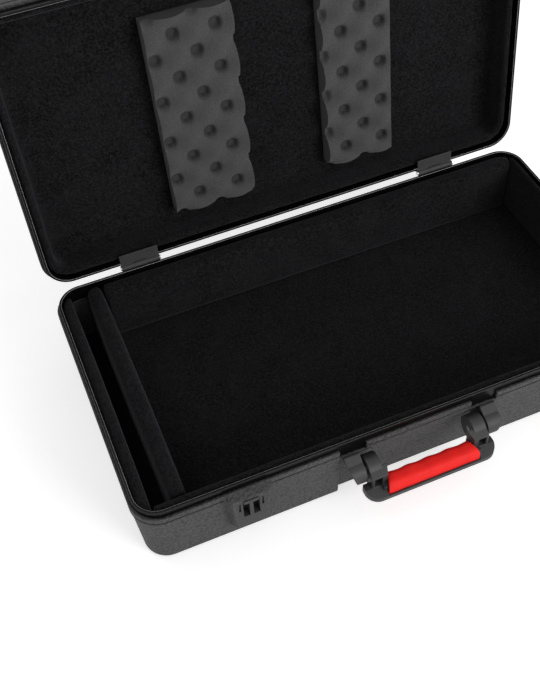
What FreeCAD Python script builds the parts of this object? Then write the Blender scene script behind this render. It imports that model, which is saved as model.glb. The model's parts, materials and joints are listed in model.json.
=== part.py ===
import FreeCAD, Part
import os
from math import cos, sin, radians, sqrt

# Moulded carrying case for a floor effects unit: a deep base and a shallow lid on two
# stop hinges, two flap latches, a fold-out handle and plush-covered foam inside.
# X runs along the front, Y to the hinge side, Z up. The origin is the centre of the
# base's underside. Lengths are millimetres, angles are degrees.

# Overall sizes
case_width = 668.0
case_depth = 360.0
base_height = 107.0
lid_height = 58.0
corner_radius = 34.0
wall = 3.5
draft_in = 5.0
edge_radius = 9.0
lid_open_angle = 98.0

# Fits
overrun = 1.0
soft_gap = 0.3
rim_gap = 0.25
part_gap = 0.4
pin_clearance = 0.05
seat_gap = 0.3

# Band of ledge, groove and bead that runs round both shells under the rim
ledge_drop = 9.0
band_height = 7.0
groove_height = 2.5
groove_depth = 1.6
bead_height = 3.0
body_inset = 1.2
cap_crown_inset = 14.0
cap_crown_height = 2.0

# Rim extrusions
rim_thickness = 3.2
rim_skirt = 22.0
rim_round = 0.9

# Padding
floor_pad_thickness = 16.0
left_pad_thickness = 16.0
right_pad_thickness = 9.0
front_pad_thickness = 13.0
back_pad_thickness = 24.0
pad_top_drop = 3.0
pad_round = 6.0
thin_pad_round = 3.5
trench_width = 19.0
divider_thickness = 22.0
divider_drop = 5.0
divider_round = 9.0

# Lid lining and the wavy foam blocks in it
lining_side = 12.5
lining_top = 8.0
lining_corner = 14.0
lining_drop = 1.5
wave_foam_base = 9.0
wave_foam_peak = 15.0
wave_pitch = 26.0
wave_foot_radius = 11.5
wave_tip_radius = 4.5
wave_foam_front_gap = 45.0
wave_foam_back_gap = 16.0
wave_foam_widths = (108.0, 92.0)
wave_foam_centres = (-93.0, 115.0)

# Hinges
hinge_from_end = 121.0
hinge_width = 51.0
hinge_axis_out = 0.8
knuckle_radius = 3.9
hinge_pin_radius = 1.6
leaf_thickness = 2.0
base_leaf_drop = 46.0
lid_leaf_rise = 40.0
leaf_start = 10.0
flange_reach = 18.0
flange_thickness = 1.6
flange_lift = 0.5
knuckle_gap = 0.4
hinge_pad_margin = 5.0
rivet_radius = 2.2
rivet_head_radius = 4.2
rivet_head_height = 1.8
rivet_inset = 10.0
pin_head_radius = 2.8
pin_head_length = 1.4

# Latches
latch_from_end = 125.0
pod_width = 67.0
pod_face_width = 42.0
pod_reach = 9.0
base_pod_top_drop = 10.0
base_pod_bottom_drop = 85.0
base_pod_face_top_drop = 15.0
base_pod_face_bottom_drop = 70.5
lid_pod_low = 11.0
lid_pod_high = 50.0
lid_pod_slope = 5.0
keeper_width = 34.0
keeper_depth = 7.0
keeper_margin = 3.0
slot_width = 7.5
slot_bar = 4.5
slot_height = 30.0
slot_top_margin = 3.0
slot_pocket = 3.5
side_slot_width = 2.6
side_slot_height = 16.0
side_slot_depth = 2.0
side_slot_offset = 13.6
keeper_tab_width = 17.0
keeper_tab_height = 5.0
keeper_tab_lift = 1.4
latch_plate_width = 38.0
latch_plate_thickness = 3.0
flap_pivot_rise = 15.0
flap_pivot_out = 5.2
flap_hub_radius = 3.6
flap_pin_radius = 1.5
flap_width = 30.0
flap_thickness = 3.4
flap_length = 52.0
flap_top_rise = 3.2
flap_rib = 1.2
flap_rib_count = 3
flap_end_round = 5.0
flap_open_angle = 60.0
prong_height = 9.0
prong_reach = 4.6
prong_side_clearance = 1.1
ear_thickness = 2.6
lock_radius = 6.5
lock_rise = 33.0
lock_out = 3.0
lock_seat_depth = 5.0
keyway_width = 1.6
keyway_length = 7.0
keyway_depth = 2.0
latch_rivet_inset = 5.0
latch_rivet_radius = 1.6
latch_rivet_head = 2.8
latch_rivet_lift = 1.0

# Handle and its two bosses
handle_bay_depth = 9.0
handle_bay_foot_depth = 16.0
handle_bay_top_drop = 26.0
handle_bay_round = 4.5
handle_pivot_drop = 41.0
handle_pivot_out = 12.0
boss_outer = 95.5
boss_inner = 76.5
boss_side_room = 2.5
boss_radius = 14.5
boss_under_rise = 4.0
boss_top_drop = 21.0
boss_top_out = 3.0
boss_lean_angle = 30.0
boss_foot_width = 9.5
boss_flare_low_drop = 55.5
boss_flare_high_drop = 25.0
boss_recess_in = 10.5
arm_outer = 73.5
arm_inner = 58.0
arm_hub_radius = 16.0
arm_face_out = 32.5
arm_brow_drop = 10.5
lip_height = 10.5
lip_end_height = 5.5
lip_round = 16.0
shoulder_outer = 82.0
shoulder_clear = 11.5
shoulder_round = 2.0
grip_inner_out = 21.0
grip_outer_out = 44.0
grip_drop = 14.0
grip_half_inner = 51.0
grip_half_outer = 58.4
grip_height = 23.0
grip_round = 9.0
frame_drop = 23.0
frame_bar_inset = 4.5
frame_bar_height = 11.0
tray_height = 2.4
window_width = 10.0
window_height = 15.0
window_depth = 8.0
window_rise = 11.0
handle_pin_radius = 3.5
handle_pin_end = 86.0
boss_screw_radius = 2.0
boss_screw_head_radius = 4.0
boss_screw_head_height = 2.2
boss_screw_length = 16.0
boss_screw_in = 4.8
boss_screw_spread = 7.0

os.makedirs("parts", exist_ok=True)
V = FreeCAD.Vector
X_AXIS = V(1, 0, 0)
Y_AXIS = V(0, 1, 0)
Z_AXIS = V(0, 0, 1)

half_width = case_width / 2
half_depth = case_depth / 2
front = -half_depth
back = half_depth
rim_z = base_height
lid_top = base_height + lid_height
hinge_y = back + hinge_axis_out
hinge_point = V(0, hinge_y, rim_z)
rim_inset = wall
pad_inset = rim_inset + rim_thickness + soft_gap
shell_floor = wall
band_low = rim_z - ledge_drop - band_height
groove_low = band_low - groove_height
bead_low = groove_low - bead_height
straight_low = rim_z - rim_skirt - overrun
handle_bay_top = rim_z - handle_bay_top_drop
handle_pivot_height = rim_z - handle_pivot_drop
boss_top_height = rim_z - boss_top_drop
boss_flare_low = rim_z - boss_flare_low_drop
boss_flare_high = rim_z - boss_flare_high_drop
base_pod_top = rim_z - base_pod_top_drop
base_pod_bottom = rim_z - base_pod_bottom_drop
base_pod_face_top = rim_z - base_pod_face_top_drop
base_pod_face_bottom = rim_z - base_pod_face_bottom_drop
hinge_offset = half_width - hinge_from_end
latch_offset = half_width - latch_from_end


def block(x_low, x_high, y_low, y_high, z_low, z_high):
    return Part.makeBox(x_high - x_low, y_high - y_low, z_high - z_low, V(x_low, y_low, z_low))


def rounded_outline(inset, z):
    """Closed wire round the case, drawn in from its outer wall by the inset."""
    x = half_width - inset
    y = half_depth - inset
    r = corner_radius - inset
    d = r * (1 - 1 / sqrt(2))
    points = [
        (V(-x + r, -y, z), V(x - r, -y, z), V(x - d, -y + d, z), V(x, -y + r, z)),
        (V(x, -y + r, z), V(x, y - r, z), V(x - d, y - d, z), V(x - r, y, z)),
        (V(x - r, y, z), V(-x + r, y, z), V(-x + d, y - d, z), V(-x, y - r, z)),
        (V(-x, y - r, z), V(-x, -y + r, z), V(-x + d, -y + d, z), V(-x + r, -y, z)),
    ]
    edges = []
    for start, corner, middle, end in points:
        edges.append(Part.LineSegment(start, corner).toShape())
        edges.append(Part.Arc(corner, middle, end).toShape())
    return Part.Wire(edges)


def slab(inset, z_low, z_high):
    return Part.Face(rounded_outline(inset, z_low)).extrude(V(0, 0, z_high - z_low))


def tapered(inset_low, inset_high, z_low, z_high):
    return Part.makeLoft([rounded_outline(inset_low, z_low), rounded_outline(inset_high, z_high)], True)


def edges_at(shape, z):
    return [e for e in shape.Edges if abs(e.BoundBox.ZMin - z) + abs(e.BoundBox.ZMax - z) < soft_gap / 10]


def outline_x(points, x_low, x_high):
    """A solid whose YZ outline is the list of points, from one X to another."""
    corners = [V(x_low, y, z) for y, z in points]
    face = Part.Face(Part.makePolygon(corners + corners[:1]))
    return face.extrude(V(x_high - x_low, 0, 0))


def rod_x(x_low, x_high, y, z, radius):
    return Part.makeCylinder(radius, x_high - x_low, V(x_low, y, z), X_AXIS)


def rod_y(y_low, y_high, x, z, radius):
    return Part.makeCylinder(radius, y_high - y_low, V(x, y_low, z), Y_AXIS)


def rod_z(z_low, z_high, x, y, radius):
    return Part.makeCylinder(radius, z_high - z_low, V(x, y, z_low), Z_AXIS)


def fillet_along(shape, radius, axis, keep=None):
    """Round the straight edges that run along one axis."""
    chosen = []
    for edge in shape.Edges:
        box = edge.BoundBox
        spans = {"x": box.XLength, "y": box.YLength, "z": box.ZLength}
        if spans[axis] > rim_thickness and sum(spans.values()) - spans[axis] < soft_gap / 10:
            if keep is None or keep(box):
                chosen.append(edge)
    return shape.makeFillet(radius, chosen)


def join(shapes):
    result = shapes[0]
    for shape in shapes[1:]:
        result = result.fuse(shape)
    return result.removeSplitter()


def open_lid(shape):
    """Turn a lid piece from its closed place to the open one, about the hinge axis."""
    turned = shape.copy()
    turned.rotate(hinge_point, X_AXIS, -lid_open_angle)
    return turned


def save(name, shape):
    shape.exportStep("parts/" + name + ".step")
    print(name, len(shape.Solids), round(shape.Volume), shape.isValid())


def mirror_x(shape):
    return shape.mirror(V(0, 0, 0), X_AXIS)


# Base shell
# A drafted tub with a shoulder band, a bay behind the handle and a pod under each latch.
body = tapered(body_inset + draft_in, body_inset, 0, bead_low)
body = body.makeFillet(edge_radius, edges_at(body, 0))
band = slab(0, band_low, rim_z - ledge_drop)
band = band.makeFillet(rim_round, edges_at(band, rim_z - ledge_drop))
bead = slab(0, bead_low, groove_low)
bead = bead.makeFillet(rim_round, edges_at(bead, groove_low) + edges_at(bead, bead_low))
groove = slab(groove_depth, groove_low, band_low)

base_wall_inset = body_inset + wall
base_hollow = tapered(base_wall_inset + draft_in, base_wall_inset, shell_floor, straight_low)
base_hollow = base_hollow.makeFillet(edge_radius - wall, edges_at(base_hollow, shell_floor))
rim_hollow = slab(rim_inset, straight_low, rim_z + overrun)


def base_pod(x):
    """Raised housing on the base's front wall that holds the latch keeper."""
    def outline(width_top, width_low, z_top, z_low, y):
        corners = [(-width_low, z_low), (width_low, z_low), (width_top, z_top), (-width_top, z_top)]
        return Part.makePolygon([V(x + a / 2, y, b) for a, b in corners + corners[:1]])
    root_y = front + base_wall_inset + draft_in
    face_y = front - pod_reach
    slope = (root_y - front) / (pod_reach + root_y - front)
    root = outline(pod_width + wall, pod_face_width + wall,
                   base_pod_top + wall * slope, base_pod_bottom - wall * slope, root_y)
    face = outline(pod_face_width + wall, keeper_width + wall,
                   base_pod_face_top, base_pod_face_bottom, face_y)
    return Part.makeLoft([root, face], True)


bay_edge = boss_outer + boss_side_room
bay_lean = (handle_bay_foot_depth - handle_bay_depth) / handle_bay_top


def bay_face_y(z):
    """Depth of the leaning face behind the handle at one height."""
    return front + handle_bay_depth + bay_lean * (handle_bay_top - z)


def bay_room(margin):
    """The room behind the handle, grown by a margin on its sides, top and back."""
    top = handle_bay_top + margin
    outline = [(front - overrun, -overrun), (front - overrun, top), (bay_face_y(top) + margin, top),
               (bay_face_y(-overrun) + margin, -overrun)]
    return outline_x(outline, -bay_edge - margin, bay_edge + margin)


handle_bay = fillet_along(bay_room(0), handle_bay_round, "y")
handle_pivot_y = front - handle_pivot_out

# Screws that hold the handle bosses, from inside the front wall
boss_screw_places = []
for side in (-1, 1):
    for z in (handle_pivot_height - boss_screw_spread, handle_pivot_height + boss_screw_spread):
        seat_y = bay_face_y(z - boss_screw_head_radius) + wall
        boss_screw_places.append((side * (boss_inner + boss_screw_in), z, seat_y))

# Seats on the back wall for the hinge leaves
hinge_seats = []
for side in (-1, 1):
    x = side * hinge_offset
    reach = hinge_width / 2 + hinge_pad_margin
    hinge_seats.append(block(x - reach, x + reach, back - base_wall_inset - draft_in, back,
                             rim_z - leaf_start - base_leaf_drop - hinge_pad_margin, band_low + rim_gap))

pods = [base_pod(side * latch_offset) for side in (-1, 1)]
base_shell = join([body, bead, groove, band] + pods + hinge_seats)
base_shell = base_shell.cut(base_hollow.fuse(rim_hollow).cut(bay_room(wall)))
for x, z, seat_y in boss_screw_places:
    base_shell = base_shell.fuse(rod_y(bay_face_y(z), seat_y, x, z, boss_screw_head_radius))
base_shell = base_shell.cut(handle_bay)
for x, z, seat_y in boss_screw_places:
    base_shell = base_shell.cut(rod_y(front, seat_y + overrun, x, z, boss_screw_radius))
for side in (-1, 1):
    recess = sorted((side * (boss_inner - boss_recess_in), side * (boss_outer + wall)))
    base_shell = base_shell.cut(block(recess[0], recess[1], front - overrun, front + rim_inset,
                                      boss_top_height, rim_z - ledge_drop + overrun))

keeper_top = base_pod_face_top - keeper_margin
keeper_low = base_pod_face_bottom + keeper_margin
pod_face_y = front - pod_reach
slot_high = keeper_top - slot_top_margin
slot_low = slot_high - slot_height
slot_centres = (-(slot_bar + slot_width) / 2, (slot_bar + slot_width) / 2)


def prong_slot(x, y_low, y_high):
    return block(x - slot_width / 2, x + slot_width / 2, y_low, y_high, slot_low, slot_high)


for side in (-1, 1):
    x = side * latch_offset
    keeper_back = pod_face_y + keeper_depth
    base_shell = base_shell.cut(block(x - keeper_width / 2, x + keeper_width / 2, pod_face_y - overrun,
                                      keeper_back, keeper_low, keeper_top))
    for centre in slot_centres:
        base_shell = base_shell.cut(prong_slot(x + centre, keeper_back - overrun, keeper_back + slot_pocket))


def hinge_rivet_places(z_low, z_high):
    """X and Z of the four rivets in one hinge leaf."""
    places = []
    for side in (-1, 1):
        for end in (-1, 1):
            for z in (z_low + rivet_inset, z_high - rivet_inset):
                places.append((side * hinge_offset + end * (hinge_width / 2 - rivet_inset), z))
    return places


base_leaf_high = rim_z - leaf_start
base_leaf_low = base_leaf_high - base_leaf_drop
lid_leaf_low = rim_z + leaf_start
lid_leaf_high = lid_leaf_low + lid_leaf_rise
base_rivet_places = hinge_rivet_places(base_leaf_low, base_leaf_high - leaf_start / 2)
lid_rivet_places = hinge_rivet_places(lid_leaf_low + leaf_start / 2, lid_leaf_high)
rivet_root = back - wall
for x, z in base_rivet_places:
    base_shell = base_shell.cut(rod_y(rivet_root - draft_in - overrun, back + overrun, x, z, rivet_radius))

save("base_shell", base_shell)

# Rim extrusions
# Each is a bent strip inside the shell's edge. The two meet when the lid is shut.
base_rim = slab(rim_inset, rim_z - rim_skirt, rim_z - rim_gap)
base_rim = base_rim.makeFillet(rim_round, edges_at(base_rim, rim_z - rim_gap))
base_rim = base_rim.cut(slab(rim_inset + rim_thickness, rim_z - rim_skirt - overrun, rim_z + overrun))
save("base_rim", base_rim)

flange_low = rim_z + flange_lift
flange_high = flange_low + flange_thickness
lid_rim = slab(rim_inset, rim_z + rim_gap, rim_z + rim_skirt)
lid_rim = lid_rim.makeFillet(rim_round, edges_at(lid_rim, rim_z + rim_gap))
lid_rim = lid_rim.cut(slab(rim_inset + rim_thickness, rim_z - overrun, rim_z + rim_skirt + overrun))
for side in (-1, 1):
    reach = hinge_width / 2 + rim_gap
    x = side * hinge_offset
    lid_rim = lid_rim.cut(block(x - reach, x + reach, back - flange_reach, back,
                                rim_z - overrun, flange_high))
save("lid_rim", open_lid(lid_rim))

# Foam padding of the base, cut to the hollow with a little room
pad_space = tapered(base_wall_inset + draft_in + soft_gap, pad_inset, shell_floor, straight_low)
pad_space = pad_space.makeFillet(edge_radius - wall, edges_at(pad_space, shell_floor))
pad_space = pad_space.fuse(slab(pad_inset, straight_low, rim_z)).removeSplitter()
pad_space = pad_space.cut(bay_room(wall + soft_gap))
for x, z, seat_y in boss_screw_places:
    pad_space = pad_space.cut(rod_y(front, seat_y + boss_screw_head_height + soft_gap, x, z,
                                    boss_screw_head_radius + soft_gap))

pad_low = shell_floor + floor_pad_thickness + soft_gap
pad_high = rim_z - pad_top_drop
left_pad_x = -half_width + pad_inset + left_pad_thickness
right_pad_x = half_width - pad_inset - right_pad_thickness
front_pad_y = front + pad_inset + front_pad_thickness
back_pad_y = back - pad_inset - back_pad_thickness
divider_x = left_pad_x + trench_width
divider_end_x = divider_x + divider_thickness


def crowned(shape, axis, radius):
    return fillet_along(shape, radius, axis, lambda b: b.ZMin > pad_low + radius)


floor_pad = block(-half_width, half_width, front, back, shell_floor, shell_floor + floor_pad_thickness)
save("floor_pad", floor_pad.common(pad_space))
left_pad = crowned(block(-half_width + pad_inset, left_pad_x, front, back, pad_low, pad_high),
                   "y", pad_round)
save("left_pad", left_pad.common(pad_space))
right_pad = crowned(block(right_pad_x, half_width - pad_inset, front, back, pad_low, pad_high),
                    "y", thin_pad_round)
save("right_pad", right_pad.common(pad_space))
front_pad = crowned(block(left_pad_x + soft_gap, right_pad_x - soft_gap, front + pad_inset, front_pad_y,
                          pad_low, pad_high), "x", pad_round - soft_gap)
save("front_pad", front_pad.common(pad_space))
back_pad = crowned(block(divider_end_x + soft_gap, right_pad_x - soft_gap, back_pad_y, back - pad_inset,
                         pad_low, pad_high), "x", pad_round)
save("back_pad", back_pad.common(pad_space))
divider = crowned(block(divider_x, divider_end_x, front_pad_y + soft_gap, back,
                        pad_low, rim_z - divider_drop), "y", divider_round)
save("cable_divider", divider.common(pad_space))

# Lid shell
# A shallow drafted cover with the same band turned upside down and a raised panel on top.
lid_straight = rim_z + rim_skirt + overrun
lid_band_high = rim_z + ledge_drop + band_height
lid_groove_high = lid_band_high + groove_height
lid_bead_high = lid_groove_high + bead_height
lid_body = tapered(body_inset, body_inset + draft_in / 2, lid_bead_high, lid_top)
lid_body = lid_body.makeFillet(edge_radius, edges_at(lid_body, lid_top))
lid_band = slab(0, rim_z + ledge_drop, lid_band_high)
lid_band = lid_band.makeFillet(rim_round, edges_at(lid_band, rim_z + ledge_drop))
lid_bead = slab(0, lid_groove_high, lid_bead_high)
lid_bead_edges = edges_at(lid_bead, lid_groove_high) + edges_at(lid_bead, lid_bead_high)
lid_bead = lid_bead.makeFillet(rim_round, lid_bead_edges)
lid_groove = slab(groove_depth, lid_band_high, lid_groove_high)
crown = slab(cap_crown_inset + body_inset + draft_in / 2, lid_top - wall, lid_top + cap_crown_height)
crown = crown.makeFillet(cap_crown_height / 2, edges_at(crown, lid_top + cap_crown_height))
lid_inner = lid_top - wall
lid_hollow = tapered(base_wall_inset, base_wall_inset + draft_in / 2, lid_straight, lid_inner)
lid_hollow = lid_hollow.makeFillet(edge_radius - wall, edges_at(lid_hollow, lid_inner))
lid_hollow = lid_hollow.fuse(slab(rim_inset, rim_z - overrun, lid_straight))


def lid_pod(x):
    """Raised housing on the lid's front wall that holds the latch plate."""
    def outline(width, z_low, z_high, y):
        corners = [(-width, z_low), (width, z_low), (width, z_high), (-width, z_high)]
        return Part.makePolygon([V(x + a / 2, y, rim_z + b) for a, b in corners + corners[:1]])
    root = outline(pod_width, lid_pod_low - overrun, lid_pod_high, front + base_wall_inset)
    face = outline(pod_face_width + wall, lid_pod_low, lid_pod_high - lid_pod_slope, pod_face_y)
    return Part.makeLoft([root, face], True)


lid_seats = []
for side in (-1, 1):
    x = side * hinge_offset
    reach = hinge_width / 2 + hinge_pad_margin
    lid_seats.append(block(x - reach, x + reach, back - base_wall_inset, back, lid_band_high - rim_gap,
                           lid_leaf_high - hinge_pad_margin))
lid_pods = [lid_pod(side * latch_offset) for side in (-1, 1)]
lid_shell = join([lid_body, lid_bead, lid_groove, lid_band, crown] + lid_pods + lid_seats)
lid_shell = lid_shell.cut(lid_hollow)
plate_low = rim_z + lid_pod_low + rim_gap
plate_high = rim_z + lid_pod_high - lid_pod_slope - keeper_margin
plate_back = pod_face_y + latch_plate_thickness
lock_z = rim_z + lock_rise
for side in (-1, 1):
    x = side * latch_offset
    lid_shell = lid_shell.cut(block(x - latch_plate_width / 2, x + latch_plate_width / 2,
                                    pod_face_y - overrun, plate_back, plate_low - overrun, plate_high))
    lid_shell = lid_shell.cut(rod_y(plate_back - overrun, plate_back + lock_seat_depth + rim_gap,
                                    x, lock_z, lock_radius + pin_clearance))
lid_rivet_root = back - wall
for x, z in lid_rivet_places:
    lid_shell = lid_shell.cut(rod_y(lid_rivet_root - draft_in - overrun, back + overrun, x, z, rivet_radius))
save("lid_shell", open_lid(lid_shell))

# Lid lining: padded sides and top in one plush tray with soft inner corners
lining_space = tapered(base_wall_inset + soft_gap, base_wall_inset + draft_in / 2 + soft_gap,
                       lid_straight, lid_inner - soft_gap)
lining_space = lining_space.makeFillet(edge_radius - wall, edges_at(lining_space, lid_inner - soft_gap))
lining_space = lining_space.cut(slab(0, lid_straight - overrun, lid_straight + overrun))
lining_space = lining_space.fuse(slab(pad_inset, flange_high + lining_drop, lid_straight + overrun))
lining_face = lid_inner - soft_gap - lining_top
lining_hollow = slab(pad_inset + lining_side, rim_z - overrun, lining_face)
lining_hollow = lining_hollow.makeFillet(lining_corner, edges_at(lining_hollow, lining_face))
lid_lining = lining_space.removeSplitter().cut(lining_hollow)
save("lid_lining", open_lid(lid_lining))


def wave_foam(width, centre):
    """Block of convoluted foam: a flat back with rows of rounded peaks."""
    y_high = back - pad_inset - lining_side - wave_foam_back_gap
    y_low = front + pad_inset + lining_side + wave_foam_front_gap
    back_z = lining_face - seat_gap
    peak_z = back_z - wave_foam_base
    columns = int(width / wave_pitch)
    rows = round((y_high - y_low) / wave_pitch)
    foam = block(centre - width / 2, centre + width / 2, y_low, y_high, peak_z, back_z)
    peaks = []
    for row in range(rows):
        for column in range(columns):
            x = centre + (column - (columns - 1) / 2) * width / columns
            y = y_low + (row + 1 / 2) * (y_high - y_low) / rows
            peaks.append(Part.makeCone(wave_foot_radius, wave_tip_radius, wave_foam_peak,
                                       V(x, y, peak_z), V(0, 0, -1)))
    return foam.fuse(peaks)


for number, (width, centre) in enumerate(zip(wave_foam_widths, wave_foam_centres), 1):
    save("wave_foam_%d" % number, open_lid(wave_foam(width, centre)))

# Hinges
# The lid leaf has a flange over the rim, two knuckles and a plate up the back. The base
# leaf has the middle knuckle and a plate down the back.
third = hinge_width / 3
for side, name in ((-1, "left"), (1, "right")):
    centre = side * hinge_offset
    x_low = centre - hinge_width / 2
    x_high = centre + hinge_width / 2
    bore = rod_x(x_low - overrun, x_high + overrun, hinge_y, rim_z, hinge_pin_radius + pin_clearance)
    middle = (x_low + third + knuckle_gap / 2, x_high - third - knuckle_gap / 2)
    base_leaf = block(x_low, x_high, back, back + leaf_thickness, base_leaf_low, base_leaf_high)
    neck = block(middle[0], middle[1], back, back + leaf_thickness, base_leaf_high - overrun, rim_z)
    base_leaf = base_leaf.fuse(neck).fuse(rod_x(middle[0], middle[1], hinge_y, rim_z, knuckle_radius))
    base_leaf = base_leaf.cut(bore)
    lid_leaf = block(x_low, x_high, back, back + leaf_thickness, lid_leaf_low, lid_leaf_high)
    for outer_low, outer_high in ((x_low, middle[0] - knuckle_gap), (middle[1] + knuckle_gap, x_high)):
        lid_leaf = lid_leaf.fuse(rod_x(outer_low, outer_high, hinge_y, rim_z, knuckle_radius))
        lid_leaf = lid_leaf.fuse(block(outer_low, outer_high, back, back + leaf_thickness,
                                       rim_z, lid_leaf_low + overrun))
    lid_leaf = lid_leaf.fuse(block(x_low, x_high, back - flange_reach + soft_gap, back + leaf_thickness,
                                   flange_low, flange_high))
    lid_leaf = lid_leaf.cut(rod_x(middle[0] - knuckle_gap, middle[1] + knuckle_gap, hinge_y, rim_z,
                                  knuckle_radius + knuckle_gap))
    lid_leaf = lid_leaf.cut(bore)
    for x, z in base_rivet_places:
        base_leaf = base_leaf.cut(rod_y(back - overrun, back + leaf_thickness + overrun, x, z, rivet_radius))
    for x, z in lid_rivet_places:
        lid_leaf = lid_leaf.cut(rod_y(back - overrun, back + leaf_thickness + overrun, x, z, rivet_radius))
    pin = rod_x(x_low, x_high, hinge_y, rim_z, hinge_pin_radius)
    pin = pin.fuse(rod_x(x_low - pin_head_length, x_low, hinge_y, rim_z, pin_head_radius))
    pin = pin.fuse(rod_x(x_high, x_high + pin_head_length, hinge_y, rim_z, pin_head_radius))
    save("hinge_base_leaf_" + name, base_leaf.removeSplitter())
    save("hinge_lid_leaf_" + name, open_lid(lid_leaf.removeSplitter()))
    save("hinge_pin_" + name, pin.removeSplitter())


def hinge_rivet(x, z):
    head_y = back + leaf_thickness
    head = rod_y(head_y, head_y + rivet_head_height, x, z, rivet_head_radius)
    rim_edges = [e for e in head.Edges if e.BoundBox.YMin > head_y + rivet_head_height / 2]
    head = head.makeFillet(rivet_head_height / 2, rim_edges)
    return head.fuse(rod_y(back - wall, head_y, x, z, rivet_radius)).removeSplitter()


save("hinge_base_rivets", Part.makeCompound([hinge_rivet(x, z) for x, z in base_rivet_places]))
save("hinge_lid_rivets", open_lid(Part.makeCompound([hinge_rivet(x, z) for x, z in lid_rivet_places])))

# Latches
# The flap turns on the lid's latch plate. Its two prongs enter the keeper's slots.
flap_y = pod_face_y - flap_pivot_out
flap_z = rim_z + flap_pivot_rise
prong_width = slot_width - 2 * prong_side_clearance
prong_high = slot_high - prong_side_clearance * 2
flap_inner_y = pod_face_y - keeper_tab_lift - part_gap
flap_outer_y = flap_inner_y - flap_thickness
flap_low = flap_z - flap_length
ear_gap = part_gap
latch_rivet_heads = []
for side, name in ((-1, "left"), (1, "right")):
    x = side * latch_offset
    keeper = block(x - keeper_width / 2, x + keeper_width / 2, pod_face_y, pod_face_y + keeper_depth,
                   keeper_low, keeper_top)
    tab = block(x - keeper_tab_width / 2, x + keeper_tab_width / 2, pod_face_y - keeper_tab_lift, pod_face_y,
                keeper_top - keeper_tab_height, keeper_top)
    keeper = keeper.fuse(tab)
    for centre in slot_centres:
        keeper = keeper.cut(prong_slot(x + centre, pod_face_y - overrun, keeper_back + overrun))
    for end in (-1, 1):
        edge = x + end * side_slot_offset
        keeper = keeper.cut(block(edge - side_slot_width / 2, edge + side_slot_width / 2,
                                  pod_face_y - overrun, pod_face_y + side_slot_depth,
                                  slot_high - side_slot_height, slot_high))
    save("latch_keeper_" + name, keeper.removeSplitter())

    plate = block(x - latch_plate_width / 2, x + latch_plate_width / 2, pod_face_y, plate_back,
                  plate_low, plate_high)
    for end in (-1, 1):
        centre = x + end * (flap_width / 2 + ear_gap + ear_thickness / 2)
        ear = rod_x(centre - ear_thickness / 2, centre + ear_thickness / 2, flap_y, flap_z, flap_hub_radius)
        ear = ear.fuse(block(centre - ear_thickness / 2, centre + ear_thickness / 2, flap_y, plate_back,
                             flap_z - flap_hub_radius, flap_z + flap_hub_radius))
        plate = plate.fuse(ear)
    plate = plate.cut(rod_x(x - pod_width, x + pod_width, flap_y, flap_z, flap_pin_radius + pin_clearance))
    plate = plate.cut(rod_y(pod_face_y - overrun, plate_back + overrun, x, lock_z,
                            lock_radius + pin_clearance))
    rivet_places = [(x + end * (latch_plate_width / 2 - latch_rivet_inset), lock_z) for end in (-1, 1)]
    for rivet_x, rivet_z in rivet_places:
        plate = plate.cut(rod_y(pod_face_y - overrun, plate_back + overrun, rivet_x, rivet_z,
                                latch_rivet_radius))
        stem = rod_y(pod_face_y, plate_back, rivet_x, rivet_z, latch_rivet_radius)
        head = rod_y(pod_face_y - latch_rivet_lift, pod_face_y, rivet_x, rivet_z, latch_rivet_head)
        latch_rivet_heads.append(stem.fuse(head).removeSplitter())
    save("latch_plate_" + name, open_lid(plate.removeSplitter()))

    flap = block(x - flap_width / 2, x + flap_width / 2, flap_outer_y, flap_inner_y, flap_low,
                 flap_z + flap_top_rise)
    flap = fillet_along(flap, flap_end_round, "y", lambda b: b.ZMax < flap_low + flap_end_round)
    flap = flap.fuse(rod_x(x - flap_width / 2, x + flap_width / 2, flap_y, flap_z, flap_hub_radius))
    for centre in slot_centres:
        flap = flap.fuse(block(x + centre - prong_width / 2, x + centre + prong_width / 2,
                               flap_inner_y - flap_thickness / 2, pod_face_y + prong_reach,
                               prong_high - prong_height, prong_high))
    for step in range(flap_rib_count):
        rib_z = flap_low + flap_end_round + step * flap_end_round
        flap = flap.fuse(block(x - flap_width / 3, x + flap_width / 3, flap_outer_y - flap_rib, flap_outer_y,
                               rib_z, rib_z + flap_end_round / 2))
    flap = flap.cut(rod_x(x - pod_width, x + pod_width, flap_y, flap_z, flap_pin_radius + pin_clearance))
    flap = flap.removeSplitter()
    flap.rotate(V(x, flap_y, flap_z), X_AXIS, -flap_open_angle)
    save("latch_flap_" + name, open_lid(flap))

    pin_reach = flap_width / 2 + ear_gap + ear_thickness
    save("latch_pin_" + name, open_lid(rod_x(x - pin_reach, x + pin_reach, flap_y, flap_z, flap_pin_radius)))

    lock = rod_y(pod_face_y - lock_out, plate_back + lock_seat_depth, x, lock_z, lock_radius)
    lock = lock.makeFillet(rim_round, [e for e in lock.Edges if e.BoundBox.YMax < pod_face_y - lock_out / 2])
    lock = lock.cut(block(x - keyway_width / 2, x + keyway_width / 2, pod_face_y - lock_out - overrun,
                          pod_face_y - lock_out + keyway_depth,
                          lock_z - keyway_length / 2, lock_z + keyway_length / 2))
    save("lock_cylinder_" + name, open_lid(lock))
save("latch_rivets", open_lid(Part.makeCompound(latch_rivet_heads)))

# Handle
# Two bosses on the front wall carry a moulded frame on pins, with a soft grip over its bar.
pivot = (handle_pivot_y, handle_pivot_height)


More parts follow.
